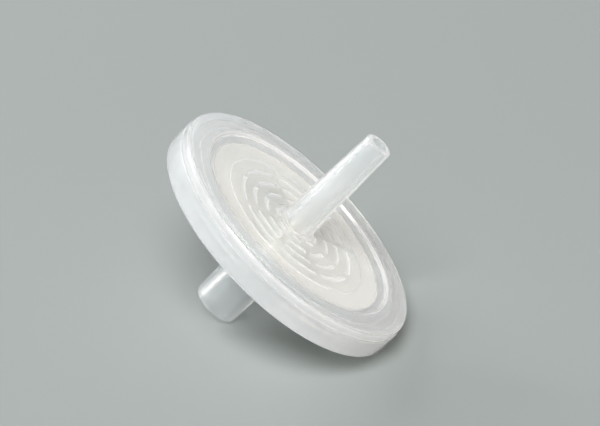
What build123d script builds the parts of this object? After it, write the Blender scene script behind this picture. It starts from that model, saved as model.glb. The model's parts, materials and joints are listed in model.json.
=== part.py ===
"""Disposable syringe filter, lying on the bench as it comes to rest.

Two moulded polypropylene halves are welded together round a membrane disc.  The inlet half is a
shallow cup with a female Luer hub.  The outlet half is a lid with a male Luer spout and a grid of
rings and channels that holds the membrane up.  Sizes are in millimetres and angles in degrees.

Every turned profile is drawn in the section plane: its x is the radius and its y is the height
along the flow axis, counted from the mouth of the hub.
"""

import os
from math import asin, atan2, cos, degrees, hypot, radians, sin, tan

from build123d import *

# ---------------------------------------------------------------- driving dimensions

# welded rim
rim_radius = 20.15
lid_inset = 0.15
cup_height = 3.26
lid_thickness = 1.45
rim_wall = 1.35
tongue_width = 1.3
tongue_depth = 1.5
tongue_clearance = 0.05
weld_pocket = 0.12
inner_wall = 1.45

# plates and their recesses
face_recess = 0.4
back_recess = 0.35
floor_thickness = 1.2

# membrane, the land that clamps its edge, and the gap that it may sag into
moat_width = 1.1
clamp_width = 3.0
membrane_thickness = 0.25
membrane_slack = 0.36

# support grid of the outlet half, repeated in low relief on the cup's floor
grid_height = 0.5
ring_pitch = 2.1
ring_width = 0.6
first_ring_radius = 3.3
channel_width = 1.2
channel_count = 8
channel_clocking = 27.4

# Luer fittings: the taper is on the diameter, over the length
luer_taper = 0.06
hub_length = 12.8
hub_mouth_radius = 3.34
hub_draft = 1.4
socket_mouth_radius = 2.15
socket_depth = 8.5
passage_radius = 1.5
spout_length = 16.1
spout_tip_radius = 1.985
bore_tip_radius = 1.15
bore_draft = 0.5

# rounded edges and corners
back_edge_round = 0.5
face_edge_round = 0.55
hub_edge_round = 0.45
tip_edge_round = 0.3
hub_root_fillet = 0.8
spout_root_fillet = 0.9
mouth_chamfer = 0.2
seam_chamfer = 0.12
recess_slope = 0.2

# ---------------------------------------------------------------- worked-out sizes

lid_radius = rim_radius - lid_inset
groove_outer = rim_radius - rim_wall
groove_inner = groove_outer - tongue_width - 2 * tongue_clearance
tongue_outer = groove_outer - tongue_clearance
tongue_inner = groove_inner + tongue_clearance
chamber_radius = groove_inner - inner_wall
membrane_radius = chamber_radius - moat_width
clamp_inner = membrane_radius - clamp_width

back_height = hub_length
floor_outside = back_height + back_recess
floor_inside = floor_outside + floor_thickness
seam_height = back_height + cup_height
front_height = seam_height + lid_thickness
face_height = front_height - face_recess
membrane_top = seam_height - grid_height
seat_height = membrane_top - membrane_thickness
inlet_grid_height = seat_height - membrane_slack - floor_inside
tongue_end = seam_height - tongue_depth
groove_floor = tongue_end - weld_pocket
tip_height = front_height + spout_length

luer_slope = luer_taper / 2
socket_floor_radius = socket_mouth_radius - luer_slope * socket_depth
hub_root_radius = hub_mouth_radius + tan(radians(hub_draft)) * floor_outside
spout_root_radius = spout_tip_radius + luer_slope * (tip_height - face_height)
bore_root_radius = bore_tip_radius + tan(radians(bore_draft)) * (tip_height - seam_height)

ring_count = int((clamp_inner - first_ring_radius - ring_width) / ring_pitch) + 1
ring_radii = [first_ring_radius + ring_pitch * n for n in range(ring_count)]

# ---------------------------------------------------------------- rest on the bench

# The filter lies on two round edges, the back edge of the cup and the mouth edge of the hub.
# Each outer edge is a ring: the radius and height of the centre of its round, and the round.
back_ring = (rim_radius - back_edge_round, back_height + back_edge_round, back_edge_round)
mouth_ring = (hub_mouth_radius - hub_edge_round, hub_edge_round, hub_edge_round)
cup_ring = (rim_radius, seam_height - seam_chamfer, 0)
face_ring = (lid_radius - face_edge_round, front_height - face_edge_round, face_edge_round)
tip_ring = (spout_tip_radius - tip_edge_round, tip_height - tip_edge_round, tip_edge_round)
outer_rings = [back_ring, mouth_ring, cup_ring, face_ring, tip_ring]

ring_step_out = back_ring[0] - mouth_ring[0]
ring_step_up = back_ring[1] - mouth_ring[1]
round_step = mouth_ring[2] - back_ring[2]
lean = atan2(ring_step_out, ring_step_up) - asin(round_step / hypot(ring_step_out, ring_step_up))


def reach(along, across):
    """How far the outer rings reach from the mouth's centre, in a direction with these parts."""
    return max(height * along + radius * across + edge for radius, height, edge in outer_rings)


reach_ahead = reach(cos(lean), sin(lean))
reach_behind = reach(-cos(lean), sin(lean))
reach_down = reach(-sin(lean), cos(lean))

mouth_centre = Vector((reach_behind - reach_ahead) / 2, 0, reach_down)
flow_direction = Vector(cos(lean), 0, sin(lean))
down_the_disc = Vector(sin(lean), 0, -cos(lean))
flow_axis = Axis(mouth_centre, flow_direction)
section_plane = Plane(origin=mouth_centre, x_dir=(0, 1, 0), z_dir=down_the_disc)


def plane_at(height):
    """The plane square to the flow axis at this height."""
    return Plane(origin=mouth_centre + flow_direction * height, x_dir=(0, 1, 0), z_dir=flow_direction)


def corner(sketch, radius, height):
    """The corner of the section that stands at this radius and height."""
    return sketch.vertices().sort_by_distance((radius, height))[0]


def support_grid():
    """Rings broken by the radial channels, drawn in the sketch that is open."""
    for radius in ring_radii:
        Circle(radius + ring_width / 2)
        Circle(radius - ring_width / 2, mode=Mode.SUBTRACT)
    with PolarLocations(clamp_inner / 2, channel_count, start_angle=channel_clocking):
        Rectangle(clamp_inner, channel_width, mode=Mode.SUBTRACT)


# ---------------------------------------------------------------- inlet half

with BuildPart() as inlet_housing:
    with BuildSketch(section_plane) as cup_section:
        with BuildLine():
            Polyline(
                (socket_mouth_radius, 0),
                (hub_mouth_radius, 0),
                (hub_root_radius, floor_outside),
                (chamber_radius, floor_outside),
                (chamber_radius + recess_slope, back_height),
                (rim_radius, back_height),
                (rim_radius, seam_height),
                (groove_outer, seam_height),
                (groove_outer, groove_floor),
                (groove_inner, groove_floor),
                (groove_inner, seam_height),
                (chamber_radius, seam_height),
                (chamber_radius, floor_inside),
                (membrane_radius, floor_inside),
                (membrane_radius, seat_height),
                (clamp_inner, seat_height),
                (clamp_inner, floor_inside),
                (passage_radius, floor_inside),
                (passage_radius, socket_depth),
                (socket_floor_radius, socket_depth),
                close=True,
            )
        make_face()
        fillet(corner(cup_section, hub_mouth_radius, 0), hub_edge_round)
        fillet(corner(cup_section, hub_root_radius, floor_outside), hub_root_fillet)
        fillet(corner(cup_section, rim_radius, back_height), back_edge_round)
        chamfer(corner(cup_section, socket_mouth_radius, 0), mouth_chamfer)
        chamfer(corner(cup_section, rim_radius, seam_height), seam_chamfer)
    revolve(axis=flow_axis)
    with BuildSketch(plane_at(floor_inside)):
        support_grid()
    extrude(amount=inlet_grid_height)

# ---------------------------------------------------------------- membrane

with BuildPart() as membrane:
    with BuildSketch(plane_at(seat_height)):
        Circle(membrane_radius)
    extrude(amount=membrane_thickness)

# ---------------------------------------------------------------- outlet half

with BuildPart() as outlet_housing:
    with BuildSketch(section_plane) as lid_section:
        with BuildLine():
            Polyline(
                (bore_root_radius, seam_height),
                (clamp_inner, seam_height),
                (clamp_inner, membrane_top),
                (membrane_radius, membrane_top),
                (membrane_radius, seam_height),
                (tongue_inner, seam_height),
                (tongue_inner, tongue_end),
                (tongue_outer, tongue_end),
                (tongue_outer, seam_height),
                (lid_radius, seam_height),
                (lid_radius, front_height),
                (chamber_radius + recess_slope, front_height),
                (chamber_radius, face_height),
                (spout_root_radius, face_height),
                (spout_tip_radius, tip_height),
                (bore_tip_radius, tip_height),
                close=True,
            )
        make_face()
        fillet(corner(lid_section, lid_radius, front_height), face_edge_round)
        fillet(corner(lid_section, spout_root_radius, face_height), spout_root_fillet)
        fillet(corner(lid_section, spout_tip_radius, tip_height), tip_edge_round)
        chamfer(corner(lid_section, lid_radius, seam_height), seam_chamfer)
    revolve(axis=flow_axis)
    with BuildSketch(plane_at(seam_height)):
        support_grid()
    extrude(amount=-grid_height)

# ---------------------------------------------------------------- files

os.makedirs("parts", exist_ok=True)
inlet_housing.part.label = "inlet_housing"
membrane.part.label = "membrane"
outlet_housing.part.label = "outlet_housing"
export_step(inlet_housing.part, "parts/inlet_housing.step")
export_step(membrane.part, "parts/membrane.step")
export_step(outlet_housing.part, "parts/outlet_housing.step")

print(f"lean of the flow axis above the bench: {degrees(lean):.2f} degrees")
print(f"mouth centre: {mouth_centre.X:.3f}, {mouth_centre.Z:.3f} mm")
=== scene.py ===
"""Looks of the disposable syringe filter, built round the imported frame.

Each moulded half is one closed turned body with its grid of rings and channels joined on, so that
light passes through it as through the real plastic.  Sizes are in millimetres until the last step.
"""

import json
import math

import bmesh
import bpy
from mathutils import Matrix, Vector


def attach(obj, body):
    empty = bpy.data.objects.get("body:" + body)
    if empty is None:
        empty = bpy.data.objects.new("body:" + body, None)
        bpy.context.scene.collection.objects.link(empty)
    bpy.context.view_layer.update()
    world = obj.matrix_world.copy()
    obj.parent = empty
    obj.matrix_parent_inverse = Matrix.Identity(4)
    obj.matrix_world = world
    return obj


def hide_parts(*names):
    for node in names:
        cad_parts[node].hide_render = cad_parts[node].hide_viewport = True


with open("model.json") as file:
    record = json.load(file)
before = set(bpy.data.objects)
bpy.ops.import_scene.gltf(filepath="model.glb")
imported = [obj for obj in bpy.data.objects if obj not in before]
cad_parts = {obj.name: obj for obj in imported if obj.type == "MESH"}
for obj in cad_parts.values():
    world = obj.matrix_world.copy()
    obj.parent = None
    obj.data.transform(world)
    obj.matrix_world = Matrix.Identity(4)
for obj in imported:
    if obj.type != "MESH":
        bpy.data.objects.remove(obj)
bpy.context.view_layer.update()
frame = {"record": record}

MM = 0.001

# ------------------------------------------------------------ sizes, as the part's source has them

mounts = {mount["name"]: mount for mount in frame["record"]["mounts"]}

rim_radius = mounts["rim"]["dims"]["r_mm"]
socket_mouth_radius = mounts["inlet_luer"]["dims"]["r_mm"]
socket_depth = mounts["inlet_luer"]["dims"]["length_mm"]
spout_tip_radius = mounts["outlet_luer"]["dims"]["r_mm"]
spout_length = mounts["outlet_luer"]["dims"]["length_mm"]

lid_inset = 0.15
cup_height = 3.26
lid_thickness = 1.45
rim_wall = 1.35
tongue_width = 1.3
tongue_depth = 1.5
tongue_clearance = 0.05
weld_pocket = 0.12
inner_wall = 1.45
face_recess = 0.4
back_recess = 0.35
floor_thickness = 1.2
moat_width = 1.1
clamp_width = 3.0
membrane_thickness = 0.25
membrane_slack = 0.36
grid_height = 0.5
ring_pitch = 2.1
ring_width = 0.6
first_ring_radius = 3.3
ring_count = 4
channel_width = 1.2
channel_count = 8
channel_clocking = 27.4
luer_slope = 0.03
hub_length = 12.8
hub_mouth_radius = 3.34
hub_draft = 1.4
passage_radius = 1.5
bore_tip_radius = 1.15
bore_draft = 0.5
back_edge_round = 0.5
face_edge_round = 0.55
hub_edge_round = 0.45
tip_edge_round = 0.3
hub_root_fillet = 0.8
spout_root_fillet = 0.9
recess_slope = 0.2

# what the eye sees and the source leaves sharp
crisp_edge_round = 0.1
soft_edge_round = 0.18
rib_round = 0.14
rib_draft = 0.15
seam_gap = 0.02
membrane_gap = 0.01

# how finely round shapes are cut up
TURN_STEPS = 192
GRID_STEPS = 160
MEMBRANE_RINGS = 40
ROUND_STEP = 15.0
RIB_ROUND_POINTS = 3
# points closer than this, in mm, become one, and edges sharper than this, in degrees, stay crisp
WELD_DISTANCE = 0.0005
SHARP_ANGLE = 40

lid_radius = rim_radius - lid_inset
groove_outer = rim_radius - rim_wall
groove_inner = groove_outer - tongue_width - 2 * tongue_clearance
tongue_outer = groove_outer - tongue_clearance
tongue_inner = groove_inner + tongue_clearance
chamber_radius = groove_inner - inner_wall
membrane_radius = chamber_radius - moat_width
clamp_inner = membrane_radius - clamp_width

back_height = hub_length
floor_outside = back_height + back_recess
floor_inside = floor_outside + floor_thickness
seam_height = back_height + cup_height
cup_top = seam_height - seam_gap
front_height = seam_height + lid_thickness
face_height = front_height - face_recess
membrane_top = seam_height - grid_height
seat_height = membrane_top - membrane_thickness
tongue_end = seam_height - tongue_depth
groove_floor = tongue_end - weld_pocket
tip_height = front_height + spout_length
inlet_grid_height = seat_height - membrane_slack - floor_inside

socket_floor_radius = socket_mouth_radius - luer_slope * socket_depth
hub_root_radius = hub_mouth_radius + math.tan(math.radians(hub_draft)) * floor_outside
spout_root_radius = spout_tip_radius + luer_slope * (tip_height - face_height)
bore_root_radius = bore_tip_radius + math.tan(math.radians(bore_draft)) * (tip_height - seam_height)

# ------------------------------------------------------------ place of the flow axis in the frame

mouth = Vector(mounts["inlet_luer"]["pos_m"])
tip = Vector(mounts["outlet_luer"]["pos_m"])
flow = (tip - mouth).normalized()
across = Vector((0, 1, 0))
place = Matrix((across, flow.cross(across), flow)).transposed().to_4x4()
place.translation = mouth
place = place @ Matrix.Scale(MM, 4)

# ------------------------------------------------------------ helpers


def linear(code):
    """An sRGB hex colour as the linear values that a shader takes."""
    parts = [int(code[n:n + 2], 16) / 255 for n in (1, 3, 5)]
    return [c / 12.92 if c <= 0.04045 else ((c + 0.055) / 1.055) ** 2.4 for c in parts] + [1.0]


def add_node(tree, kind, settings, inputs):
    """Adds a node with its own settings and its inputs, each a value or a socket to link."""
    node = tree.nodes.new(kind)
    for name, value in settings.items():
        setattr(node, name, value)
    for name, value in inputs.items():
        if isinstance(value, bpy.types.NodeSocket):
            tree.links.new(value, node.inputs[name])
        else:
            node.inputs[name].default_value = value
    return node


def rounded(corners):
    """Points of a closed outline. Each corner is a radius, a height and the round that it gets."""
    points = []
    for n, (x, y, size) in enumerate(corners):
        here = Vector((x, y))
        if not size:
            points.append(here)
            continue
        before = Vector(corners[n - 1][:2]) - here
        after = Vector(corners[(n + 1) % len(corners)][:2]) - here
        half = before.angle(after) / 2
        inward = (before.normalized() + after.normalized()).normalized()
        middle = here + inward * size / math.sin(half)
        start = here + before.normalized() * size / math.tan(half) - middle
        end = here + after.normalized() * size / math.tan(half) - middle
        sweep = start.angle_signed(end)
        count = max(2, round(math.degrees(abs(sweep)) / ROUND_STEP))
        for k in range(count + 1):
            points.append(middle + Matrix.Rotation(-sweep * k / count, 2) @ start)
    return points


def mesh_object(name, mesh):
    """A new object of this mesh, in the scene, at the origin."""
    made = bpy.data.objects.new(name, mesh)
    bpy.context.scene.collection.objects.link(made)
    return made


def turned(name, outline):
    """A closed body made by turning an outline round the flow axis."""
    build = bmesh.new()
    rings = []
    for n in range(TURN_STEPS):
        turn = 2 * math.pi * n / TURN_STEPS
        rings.append([build.verts.new((p.x * math.cos(turn), p.x * math.sin(turn), p.y))
                      for p in outline])
    for n, ring in enumerate(rings):
        other = rings[(n + 1) % TURN_STEPS]
        for k in range(len(outline)):
            build.faces.new((ring[k - 1], ring[k], other[k], other[k - 1]))
    bmesh.ops.recalc_face_normals(build, faces=build.faces)
    mesh = bpy.data.meshes.new(name)
    build.to_mesh(mesh)
    build.free()
    return mesh_object(name, mesh)


# ------------------------------------------------------------ support grid

GRID_INPUTS = {
    "Rings": ("NodeSocketInt", ring_count),
    "First Radius": ("NodeSocketFloat", first_ring_radius),
    "Pitch": ("NodeSocketFloat", ring_pitch),
    "Upper Width": ("NodeSocketFloat", ring_width),
    "Lower Width": ("NodeSocketFloat", ring_width),
    "Rib Height": ("NodeSocketFloat", grid_height),
    "Rib Round": ("NodeSocketFloat", rib_round),
    "Rib Middle": ("NodeSocketFloat", seam_height),
    "Channels": ("NodeSocketInt", channel_count),
    "Channel Width": ("NodeSocketFloat", channel_width),
    "Reach": ("NodeSocketFloat", clamp_inner),
    "Clocking": ("NodeSocketFloat", math.radians(channel_clocking)),
    "Steps": ("NodeSocketInt", GRID_STEPS),
}


def grid_tree():
    """Rings round the axis, cut by radial channels and joined to the body that comes in."""
    tree = bpy.data.node_groups.new("support_grid", "GeometryNodeTree")
    tree.interface.new_socket("Body", in_out="INPUT", socket_type="NodeSocketGeometry")
    for name, (kind, value) in GRID_INPUTS.items():
        tree.interface.new_socket(name, in_out="INPUT", socket_type=kind).default_value = value
    tree.interface.new_socket("Material", in_out="INPUT", socket_type="NodeSocketMaterial")
    tree.interface.new_socket("Body", in_out="OUTPUT", socket_type="NodeSocketGeometry")
    given = tree.nodes.new("NodeGroupInput").outputs

    index = add_node(tree, "GeometryNodeInputIndex", {}, {})
    radius = add_node(tree, "ShaderNodeMath", {"operation": "MULTIPLY_ADD"},
                      {0: index.outputs[0], 1: given["Pitch"], 2: given["First Radius"]})
    centres = add_node(tree, "GeometryNodeMeshLine", {},
                       {"Count": given["Rings"], "Offset": (0, 0, 0)})
    circle = add_node(tree, "GeometryNodeCurvePrimitiveCircle", {},
                      {"Resolution": given["Steps"], "Radius": 1.0})
    circles = add_node(tree, "GeometryNodeInstanceOnPoints", {},
                       {"Points": centres.outputs[0], "Instance": circle.outputs[0],
                        "Scale": radius.outputs[0]})
    loops = add_node(tree, "GeometryNodeRealizeInstances", {}, {"Geometry": circles.outputs[0]})
    upright = add_node(tree, "GeometryNodeSetCurveNormal", {"mode": "Z_UP"},
                       {"Curve": loops.outputs[0]})
    section = add_node(tree, "GeometryNodeCurvePrimitiveQuadrilateral", {"mode": "TRAPEZOID"},
                       {"Bottom Width": given["Upper Width"], "Top Width": given["Lower Width"],
                        "Offset": 0.0, "Height": given["Rib Height"]})
    soft = add_node(tree, "GeometryNodeFilletCurve", {"mode": "POLY"},
                    {"Curve": section.outputs[0], "Count": RIB_ROUND_POINTS,
                     "Radius": given["Rib Round"], "Limit Radius": True})
    ribs = add_node(tree, "GeometryNodeCurveToMesh", {},
                    {"Curve": upright.outputs[0], "Profile Curve": soft.outputs[0]})
    middle = add_node(tree, "ShaderNodeCombineXYZ", {}, {"Z": given["Rib Middle"]})
    raised = add_node(tree, "GeometryNodeTransform", {},
                      {"Geometry": ribs.outputs[0], "Translation": middle.outputs[0]})

    bar_size = add_node(tree, "ShaderNodeCombineXYZ", {},
                        {"X": given["Reach"], "Y": given["Channel Width"], "Z": given["Reach"]})
    bar = add_node(tree, "GeometryNodeMeshCube", {}, {"Size": bar_size.outputs[0]})
    half_reach = add_node(tree, "ShaderNodeMath", {"operation": "MULTIPLY"},
                          {0: given["Reach"], 1: 0.5})
    bar_centre = add_node(tree, "ShaderNodeCombineXYZ", {},
                          {"X": half_reach.outputs[0], "Z": given["Rib Middle"]})
    spoke = add_node(tree, "GeometryNodeTransform", {},
                     {"Geometry": bar.outputs[0], "Translation": bar_centre.outputs[0]})
    hubs = add_node(tree, "GeometryNodeMeshLine", {},
                    {"Count": given["Channels"], "Offset": (0, 0, 0)})
    step = add_node(tree, "ShaderNodeMath", {"operation": "DIVIDE"},
                    {0: 2 * math.pi, 1: given["Channels"]})
    turn = add_node(tree, "ShaderNodeMath", {"operation": "MULTIPLY_ADD"},
                    {0: index.outputs[0], 1: step.outputs[0], 2: given["Clocking"]})
    spin = add_node(tree, "ShaderNodeCombineXYZ", {}, {"Z": turn.outputs[0]})
    spokes = add_node(tree, "GeometryNodeInstanceOnPoints", {},
                      {"Points": hubs.outputs[0], "Instance": spoke.outputs[0],
                       "Rotation": spin.outputs[0]})
    channels = add_node(tree, "GeometryNodeRealizeInstances", {}, {"Geometry": spokes.outputs[0]})

    cut = add_node(tree, "GeometryNodeMeshBoolean", {"operation": "DIFFERENCE", "solver": "EXACT"},
                   {"Mesh 1": raised.outputs[0], "Mesh 2": channels.outputs[0],
                    "Self Intersection": True})
    whole = add_node(tree, "GeometryNodeMeshBoolean", {"operation": "UNION", "solver": "EXACT"},
                     {"Mesh 2": given["Body"], "Self Intersection": False})
    tree.links.new(cut.outputs[0], whole.inputs["Mesh 2"])
    clean = add_node(tree, "GeometryNodeMergeByDistance", {},
                     {"Geometry": whole.outputs[0], "Distance": WELD_DISTANCE})
    real = add_node(tree, "GeometryNodeRealizeInstances", {}, {"Geometry": clean.outputs[0]})
    finish = add_node(tree, "GeometryNodeSetMaterial", {},
                      {"Geometry": real.outputs[0], "Material": given["Material"]})
    add_node(tree, "NodeGroupOutput", {}, {"Body": finish.outputs[0]})
    return tree


def with_grid(body, tree, material, settings):
    """The body with its support grid, as one plain mesh in the frame's own place."""
    grid = body.modifiers.new("support_grid", "NODES")
    grid.node_group = tree
    sockets = {s.name: s.identifier for s in tree.interface.items_tree if s.in_out == "INPUT"}
    for name, value in {**settings, "Material": material}.items():
        grid[sockets[name]] = value
    graph = bpy.context.evaluated_depsgraph_get()
    mesh = bpy.data.meshes.new_from_object(body.evaluated_get(graph))
    body.modifiers.remove(grid)
    body.data = mesh
    return body


def finished(piece, material, node):
    """Smooths the piece, puts it in its place in the frame and has it stand for its node."""
    piece.data.transform(place)
    if not piece.data.materials:
        piece.data.materials.append(material)
    piece.data.shade_smooth()
    piece.data.set_sharp_from_angle(angle=math.radians(SHARP_ANGLE))
    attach(piece, "root")
    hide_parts(node)
    return piece


# ------------------------------------------------------------ materials

def own_place(tree):
    """The filter's own coordinates in millimetres, up the flow axis, and the distance from it."""
    where = add_node(tree, "ShaderNodeTexCoord", {}, {})
    own = add_node(tree, "ShaderNodeMapping", {"vector_type": "TEXTURE"},
                   {"Vector": where.outputs["Object"], "Location": mouth,
                    "Rotation": place.to_euler(), "Scale": (MM, MM, MM)})
    level = add_node(tree, "ShaderNodeVectorMath", {"operation": "MULTIPLY"},
                     {0: own.outputs["Vector"], 1: (1, 1, 0)})
    radius = add_node(tree, "ShaderNodeVectorMath", {"operation": "LENGTH"},
                      {0: level.outputs["Vector"]})
    return own.outputs["Vector"], radius.outputs["Value"]


def ramp(tree, value, start, end, low, high):
    """Goes smoothly from low to high as the value goes from start to end."""
    return add_node(tree, "ShaderNodeMapRange", {"interpolation_type": "SMOOTHSTEP"},
                    {"Value": value, "From Min": start, "From Max": end,
                     "To Min": low, "To Max": high}).outputs[0]


# Noise stays near its middle, so a pattern takes its full swing between these two values
NOISE_LOW, NOISE_HIGH = 0.35, 0.65

# Natural polypropylene has no pigment: it is white where it scatters, with a trace of cold
PLASTIC_COLOUR = "#FAFDFD"
PLASTIC_IOR = 1.49
# Share of the light that goes through the skin of the plastic without being scattered: the polished
# plates are almost clear, the tubes a little less, and the side wall of the rim has a matt skin,
# which the cooling clouds unevenly in soft patches of a few millimetres.
PLATE_CLARITY = 0.97
TUBE_CLARITY = 0.94
RIM_CLARITY = 0.81
CLOUD_CLARITY = 0.83
CLOUD_SIZE = 5.0
# The step round the face is made milky white all round: a painted highlight line along its edge.
# The grid's crests are milky white too, partly from their thicker plastic and partly as a painted
# highlight, bright arcs along the rings.
STEP_PAINTED_HIGHLIGHT_CLARITY = 0.6
RIB_HAZE_AND_HIGHLIGHT_CLARITY = 0.15
# What the skin scatters goes about this deep before it comes out again
MILKY_DEPTH = 0.8
# The crystals inside scatter light about every 1 / 0.22 = 4.5 mm, the blue part of it a little more
HAZE_PER_METRE = 220.0
HAZE_COLOUR = "#F0F7FF"
# Share of a lamp's light that each skin lets through
LAMP_PASS = 0.48
# The outside is polished satin.  The inside was against spark-eroded steel, so it blurs more.
OUTER_ROUGHNESS = 0.14
INNER_ROUGHNESS = 0.32
# Real flow lines are some 0.1 mm apart and too fine to show, so they are drawn this coarse.  They
# stand 0.4 micrometres proud, and the shine varies by this share along them.
FLOW_LINE = 1.5
FLOW_RELIEF = 0.0004
FLOW_LOW, FLOW_HIGH = 0.3, 0.7
FLOW_SHINE = 0.03
step_radius = chamber_radius + recess_slope / 2


def moulded_polypropylene():
    """Natural polypropylene, injection moulded: clear but milky, a trace cold, with a satin shine.

    The haze grows with the thickness of the wall, so the plates show what is behind them and the
    welded rim is nearly white.
    """
    made = bpy.data.materials.new("moulded_natural_polypropylene")
    made.use_nodes = True
    tree = made.node_tree
    shader = tree.nodes["Principled BSDF"]
    shader.inputs["Base Color"].default_value = linear(PLASTIC_COLOUR)
    shader.inputs["IOR"].default_value = PLASTIC_IOR
    shader.inputs["Subsurface Weight"].default_value = 1.0
    shader.inputs["Subsurface Radius"].default_value = (1.0, 1.0, 1.0)
    shader.inputs["Subsurface Scale"].default_value = MILKY_DEPTH * MM

    own, radius = own_place(tree)
    height = add_node(tree, "ShaderNodeSeparateXYZ", {}, {"Vector": own}).outputs["Z"]
    cloud = add_node(tree, "ShaderNodeTexNoise", {},
                     {"Vector": own, "Scale": 1 / CLOUD_SIZE, "Detail": 2.0})
    rim = ramp(tree, cloud.outputs[0], NOISE_LOW, NOISE_HIGH, RIM_CLARITY, CLOUD_CLARITY)
    plate = ramp(tree, radius, rim_radius - back_edge_round, lid_radius, PLATE_CLARITY, rim)
    # Painted highlight: the step round the face is made milky white all round, a light line along
    # its edge
    off_step = add_node(tree, "ShaderNodeMath", {"operation": "SUBTRACT"},
                        {0: radius, 1: step_radius})
    off_step = add_node(tree, "ShaderNodeMath", {"operation": "ABSOLUTE"},
                        {0: off_step.outputs[0]})
    step = ramp(tree, off_step.outputs[0], recess_slope, 2 * recess_slope, STEP_PAINTED_HIGHLIGHT_CLARITY, 1.0)
    plate = add_node(tree, "ShaderNodeMath", {"operation": "MULTIPLY"},
                     {0: plate, 1: step}).outputs[0]
    tube = ramp(tree, radius, hub_mouth_radius, hub_root_radius, TUBE_CLARITY / PLATE_CLARITY, 1.0)
    outer = add_node(tree, "ShaderNodeMath", {"operation": "MULTIPLY"}, {0: plate, 1: tube})
    # The inner side of the grid's crests is made milky white: partly thicker plastic, partly a
    # painted highlight of bright arcs
    low_rib = ramp(tree, height, seam_height - 2 * crisp_edge_round,
                   seam_height - crisp_edge_round, 1.0, 0.0)
    on_rib = ramp(tree, height, membrane_top - membrane_thickness,
                  membrane_top - membrane_gap, 0.0, 1.0)
    in_grid = ramp(tree, radius, clamp_inner, clamp_inner + crisp_edge_round, 1.0, 0.0)
    rib = add_node(tree, "ShaderNodeMath", {"operation": "MULTIPLY"},
                   {0: low_rib, 1: on_rib}).outputs[0]
    rib = add_node(tree, "ShaderNodeMath", {"operation": "MULTIPLY"},
                   {0: rib, 1: in_grid}).outputs[0]
    inner = ramp(tree, rib, 0.0, 1.0, 1.0, RIB_HAZE_AND_HIGHLIGHT_CLARITY)
    side = add_node(tree, "ShaderNodeNewGeometry", {}, {}).outputs["Backfacing"]
    clarity = add_node(tree, "ShaderNodeMix", {"data_type": "FLOAT"},
                       {0: side, 2: outer.outputs[0], 3: inner})
    tree.links.new(clarity.outputs[0], shader.inputs["Transmission Weight"])
    satin = add_node(tree, "ShaderNodeMix", {"data_type": "FLOAT"},
                     {0: side, 2: OUTER_ROUGHNESS, 3: INNER_ROUGHNESS})
    lines = add_node(tree, "ShaderNodeTexNoise", {},
                     {"Vector": own, "Scale": 1 / FLOW_LINE, "Detail": 2.0})
    shine = ramp(tree, lines.outputs[0], FLOW_LOW, FLOW_HIGH, 1 - FLOW_SHINE, 1 + FLOW_SHINE)
    satin = add_node(tree, "ShaderNodeMath", {"operation": "MULTIPLY"},
                     {0: satin.outputs[0], 1: shine})
    tree.links.new(satin.outputs[0], shader.inputs["Roughness"])
    relief = add_node(tree, "ShaderNodeBump", {},
                      {"Height": lines.outputs[0], "Distance": FLOW_RELIEF * MM})
    tree.links.new(relief.outputs[0], shader.inputs["Normal"])

    ray = add_node(tree, "ShaderNodeLightPath", {}, {})
    passed = add_node(tree, "ShaderNodeBsdfTransparent", {},
                      {"Color": (LAMP_PASS, LAMP_PASS, LAMP_PASS, 1)})
    both = add_node(tree, "ShaderNodeMixShader", {}, {0: ray.outputs["Is Shadow Ray"]})
    tree.links.new(shader.outputs[0], both.inputs[1])
    tree.links.new(passed.outputs[0], both.inputs[2])
    haze = add_node(tree, "ShaderNodeVolumeScatter", {},
                    {"Color": linear(HAZE_COLOUR), "Density": HAZE_PER_METRE})
    whole = tree.nodes["Material Output"]
    tree.links.new(both.outputs[0], whole.inputs["Surface"])
    tree.links.new(haze.outputs[0], whole.inputs["Volume"])
    return made


# The bonding points are 0.8 mm apart, stray a little from their rows and are 0.06 mm deep.  They
# stand out in patches of a few millimetres and keep a faint share of their shade between those.
# The shade round each point sets in over the shares of its cell that FLEECE_FADE gives.
FLEECE_DOT = 0.8
FLEECE_STRAY = 0.35
FLEECE_FADE = (0.15, 0.5)
FLEECE_CLOUD = 5.0
FLEECE_FAINT = 0.3
FLEECE_RELIEF = 0.06
FLEECE_COLOUR = "#EFECE5"
FLEECE_SHADE = "#A8A292"
FLEECE_ROUGHNESS = 0.8


def membrane_fleece():
    """White filter membrane on a spunbonded fleece: matt and slightly warm.

    The fleece is point bonded, which shows as rows of small dots under the open part of the grid.
    Where the halves clamp it, it is pressed plain and white.
    """
    made = bpy.data.materials.new("white_membrane_fleece")
    made.use_nodes = True
    tree = made.node_tree
    shader = tree.nodes["Principled BSDF"]
    own, radius = own_place(tree)
    dots = add_node(tree, "ShaderNodeTexVoronoi", {"feature": "F1"},
                    {"Vector": own, "Scale": 1 / FLEECE_DOT, "Randomness": FLEECE_STRAY})
    cloud = add_node(tree, "ShaderNodeTexNoise", {},
                     {"Vector": own, "Scale": 1 / FLEECE_CLOUD, "Detail": 3.0})
    dot = ramp(tree, dots.outputs["Distance"], *FLEECE_FADE, 0.0, 1.0)
    patch = ramp(tree, cloud.outputs[0], NOISE_LOW, NOISE_HIGH, FLEECE_FAINT, 1.0)
    open_part = ramp(tree, radius, clamp_inner - FLEECE_CLOUD / 2, clamp_inner, 1.0, 0.0)
    shade = add_node(tree, "ShaderNodeMath", {"operation": "MULTIPLY"}, {0: dot, 1: patch})
    grain = add_node(tree, "ShaderNodeMath", {"operation": "MULTIPLY"},
                     {0: shade.outputs[0], 1: open_part})
    tint = add_node(tree, "ShaderNodeMix", {"data_type": "RGBA"},
                    {0: grain.outputs[0], 6: linear(FLEECE_COLOUR), 7: linear(FLEECE_SHADE)})
    tree.links.new(tint.outputs[2], shader.inputs["Base Color"])
    relief = add_node(tree, "ShaderNodeBump", {},
                      {"Height": grain.outputs[0], "Distance": FLEECE_RELIEF * MM})
    tree.links.new(relief.outputs[0], shader.inputs["Normal"])
    shader.inputs["Roughness"].default_value = FLEECE_ROUGHNESS
    return made


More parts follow.
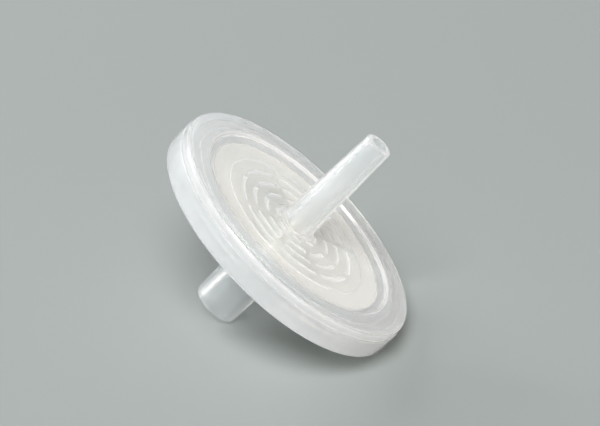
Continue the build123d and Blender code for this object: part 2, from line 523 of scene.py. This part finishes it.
def shown(tree, light, seen):
    """One value for the light that falls from here, another where the eye meets it.

    The eye meets it directly, in a reflection or through clear plastic.
    """
    ray = add_node(tree, "ShaderNodeLightPath", {}, {})
    either = add_node(tree, "ShaderNodeMath", {"operation": "MAXIMUM"},
                      {0: ray.outputs["Is Glossy Ray"], 1: ray.outputs["Is Transmission Ray"]})
    either = add_node(tree, "ShaderNodeMath", {"operation": "MAXIMUM"},
                      {0: either.outputs[0], 1: ray.outputs["Is Camera Ray"]})
    return add_node(tree, "ShaderNodeMix", {"data_type": "FLOAT"},
                    {0: either.outputs[0], 2: light, 3: seen}).outputs[0]


BENCH_COLOUR = "#AEB4B2"
# What the bench throws back on the filter's underside is white, as in a room with pale walls
BENCH_THROW = "#FFFFFF"
BENCH_ROUGHNESS = 0.9


def bench_top():
    """Smooth grey laminate bench, matt enough to show no reflection."""
    made = bpy.data.materials.new("grey_bench_laminate")
    made.use_nodes = True
    tree = made.node_tree
    shader = tree.nodes["Principled BSDF"]
    ray = add_node(tree, "ShaderNodeLightPath", {}, {})
    seen = add_node(tree, "ShaderNodeMix", {"data_type": "RGBA"},
                    {0: ray.outputs["Is Diffuse Ray"], 6: linear(BENCH_COLOUR),
                     7: linear(BENCH_THROW)})
    tree.links.new(seen.outputs[2], shader.inputs["Base Color"])
    shader.inputs["Roughness"].default_value = BENCH_ROUGHNESS
    shader.inputs["Specular IOR Level"].default_value = 0.0
    return made


plastic = moulded_polypropylene()
fleece = membrane_fleece()

# ------------------------------------------------------------ pieces

lid_outline = rounded([
    (bore_root_radius, seam_height, crisp_edge_round),
    (clamp_inner, seam_height, crisp_edge_round),
    (clamp_inner, membrane_top, crisp_edge_round),
    (membrane_radius, membrane_top, crisp_edge_round),
    (membrane_radius, seam_height, crisp_edge_round),
    (tongue_inner, seam_height, crisp_edge_round),
    (tongue_inner, tongue_end, soft_edge_round),
    (tongue_outer, tongue_end, soft_edge_round),
    (tongue_outer, seam_height, crisp_edge_round),
    (lid_radius, seam_height, soft_edge_round),
    (lid_radius, front_height, face_edge_round),
    (chamber_radius + recess_slope, front_height, crisp_edge_round),
    (chamber_radius, face_height, crisp_edge_round),
    (spout_root_radius, face_height, spout_root_fillet),
    (spout_tip_radius, tip_height, tip_edge_round),
    (bore_tip_radius, tip_height, crisp_edge_round),
])
cup_outline = rounded([
    (socket_mouth_radius, 0, soft_edge_round),
    (hub_mouth_radius, 0, hub_edge_round),
    (hub_root_radius, floor_outside, hub_root_fillet),
    (chamber_radius, floor_outside, crisp_edge_round),
    (chamber_radius + recess_slope, back_height, crisp_edge_round),
    (rim_radius, back_height, back_edge_round),
    (rim_radius, cup_top, soft_edge_round),
    (groove_outer, cup_top, crisp_edge_round),
    (groove_outer, groove_floor, crisp_edge_round),
    (groove_inner, groove_floor, crisp_edge_round),
    (groove_inner, cup_top, crisp_edge_round),
    (chamber_radius, cup_top, crisp_edge_round),
    (chamber_radius, floor_inside, soft_edge_round),
    (membrane_radius, floor_inside, crisp_edge_round),
    (membrane_radius, seat_height, crisp_edge_round),
    (clamp_inner, seat_height, crisp_edge_round),
    (clamp_inner, floor_inside, crisp_edge_round),
    (passage_radius, floor_inside, crisp_edge_round),
    (passage_radius, socket_depth, crisp_edge_round),
    (socket_floor_radius, socket_depth, crisp_edge_round),
])

tree = grid_tree()
# A rib has draft: narrower at its crest than half way up, and wide at the end hidden in the plate
tip_width, far_width = ring_width - rib_draft, ring_width + 3 * rib_draft
outlet_half = with_grid(turned("outlet_half", lid_outline), tree, plastic,
                        {"Rib Height": 2 * grid_height, "Rib Middle": seam_height,
                         "Upper Width": far_width, "Lower Width": tip_width})
inlet_half = with_grid(turned("inlet_half", cup_outline), tree, plastic,
                       {"Rib Height": 2 * inlet_grid_height, "Rib Middle": floor_inside,
                        "Upper Width": tip_width, "Lower Width": far_width})


def membrane_disc():
    """A flat disc with a pole at its middle."""
    low, high = seat_height + membrane_gap, membrane_top - membrane_gap
    build = bmesh.new()
    radii = [membrane_radius * n / MEMBRANE_RINGS for n in range(1, MEMBRANE_RINGS + 1)]
    outline = [(r, high) for r in radii] + [(r, low) for r in reversed(radii)]
    top = build.verts.new((0, 0, high))
    bottom = build.verts.new((0, 0, low))
    rings = []
    for n in range(TURN_STEPS):
        turn = 2 * math.pi * n / TURN_STEPS
        rings.append([build.verts.new((r * math.cos(turn), r * math.sin(turn), h))
                      for r, h in outline])
    for n, ring in enumerate(rings):
        other = rings[(n + 1) % TURN_STEPS]
        for k in range(1, len(outline)):
            build.faces.new((ring[k - 1], ring[k], other[k], other[k - 1]))
        build.faces.new((top, ring[0], other[0]))
        build.faces.new((ring[-1], bottom, other[-1]))
    bmesh.ops.recalc_face_normals(build, faces=build.faces)
    mesh = bpy.data.meshes.new("membrane_disc")
    build.to_mesh(mesh)
    build.free()
    return mesh_object("membrane_disc", mesh)


pieces = [
    finished(outlet_half, plastic, "outlet_housing"),
    finished(inlet_half, plastic, "inlet_housing"),
    finished(membrane_disc(), fleece, "membrane"),
]

# ------------------------------------------------------------ bench, light and camera

BENCH_REACH = 3.0
# The bench lies this far under the filter's lowest point, so that the two share no plane
BENCH_DROP = 0.00002
# The room gives little light of its own and is seen as a plain grey
ROOM_LIGHT = 0.1
ROOM_SEEN = 0.6

build = bmesh.new()
bmesh.ops.create_grid(build, x_segments=1, y_segments=1, size=BENCH_REACH)
mesh = bpy.data.meshes.new("bench")
build.to_mesh(mesh)
build.free()
bench = mesh_object("bench", mesh)
bench.location.z = -BENCH_DROP
bench.data.materials.append(bench_top())

world = bpy.data.worlds.new("soft_room")
world.use_nodes = True
bpy.context.scene.world = world
room = world.node_tree.nodes["Background"]
room.inputs["Color"].default_value = linear("#FFFFFF")
room_light = shown(world.node_tree, ROOM_LIGHT, ROOM_SEEN)
world.node_tree.links.new(room_light, room.inputs["Strength"])

face_centre = place @ Vector((0, 0, front_height))


def softbox(name, towards, distance, size, power, tint="#FFFFFF"):
    """A lamp of this width and length that faces the filter, its length along the flow axis.

    It stands in the direction that towards gives, at this distance in metres from the face.
    """
    lamp = bpy.data.lights.new(name, "AREA")
    lamp.color = linear(tint)[:3]
    lamp.shape = "RECTANGLE"
    lamp.size, lamp.size_y = size
    lamp.energy = power
    made = bpy.data.objects.new(name, lamp)
    bpy.context.scene.collection.objects.link(made)
    back = Vector(towards).normalized()
    side = flow.cross(back).normalized()
    turn = Matrix((side, back.cross(side), back)).transposed()
    made.matrix_world = Matrix.Translation(face_centre + back * distance) @ turn.to_4x4()
    return made


# The overhead box lights the bench evenly.  The back one puts a soft shadow to the filter's right.
softbox("overhead_softbox", (-0.17, -0.85, 1.0), 3.0, (1.3, 1.3), 86.0)
softbox("back_softbox", (-0.8, 0.6, 0.6), 0.9, (0.5, 0.5), 3.5)

# Panels for the filter alone, which would be darker than the bench's level without them.  They
# bring its flat face to about that level, and light its rim, spout and hub more than that.
filter_only = bpy.data.collections.new("filter_only")
for piece in pieces:
    filter_only.objects.link(piece)
for name, towards, distance, size, power, tint in (
        ("front_panel", (0.0, -1.0, 0.5), 0.9, (0.4, 0.4), 1.3, "#FAFDFF"),
        ("left_panel", (-0.8, -0.5, 0.4), 0.2, (0.1, 0.1), 0.11, "#F8FCFF"),
        ("right_panel", (1.0, -0.4, 0.2), 0.25, (0.15, 0.15), 0.27, "#FFE6D2"),
        ("back_panel", (0.2, 1.0, 0.3), 0.9, (0.7, 0.7), 0.5, "#FFFFFF")):
    panel = softbox(name, towards, distance, size, power, tint)
    panel.light_linking.receiver_collection = filter_only
    panel.visible_glossy = False

CAMERA_DISTANCE = 0.6
CAMERA_LENS = 264.83
CAMERA_ELEVATION = 27.6
CAMERA_ROLL = 5.1
CAMERA_SENSOR = 36.0
CAMERA_CLIP = (0.05, 20.0)
AIM_ABOVE_FACE = 0.0012
# Light bounces many times in milky plastic.  With no bounces the filter renders a fifth darker,
# and from about 4 on it changes little.
VOLUME_BOUNCES = 12

camera = bpy.data.objects.new("camera", bpy.data.cameras.new("camera"))
bpy.context.scene.collection.objects.link(camera)
camera.data.lens = CAMERA_LENS
camera.data.sensor_width = CAMERA_SENSOR
turn = (Matrix.Rotation(math.radians(90 - CAMERA_ELEVATION), 3, "X")
        @ Matrix.Rotation(math.radians(CAMERA_ROLL), 3, "Z"))
camera.rotation_euler = turn.to_euler()
camera.location = face_centre + turn @ Vector((0, AIM_ABOVE_FACE, CAMERA_DISTANCE))
camera.data.clip_start, camera.data.clip_end = CAMERA_CLIP
bpy.context.scene.camera = camera

bpy.context.scene.view_settings.view_transform = "Standard"
bpy.context.scene.cycles.volume_bounces = VOLUME_BOUNCES
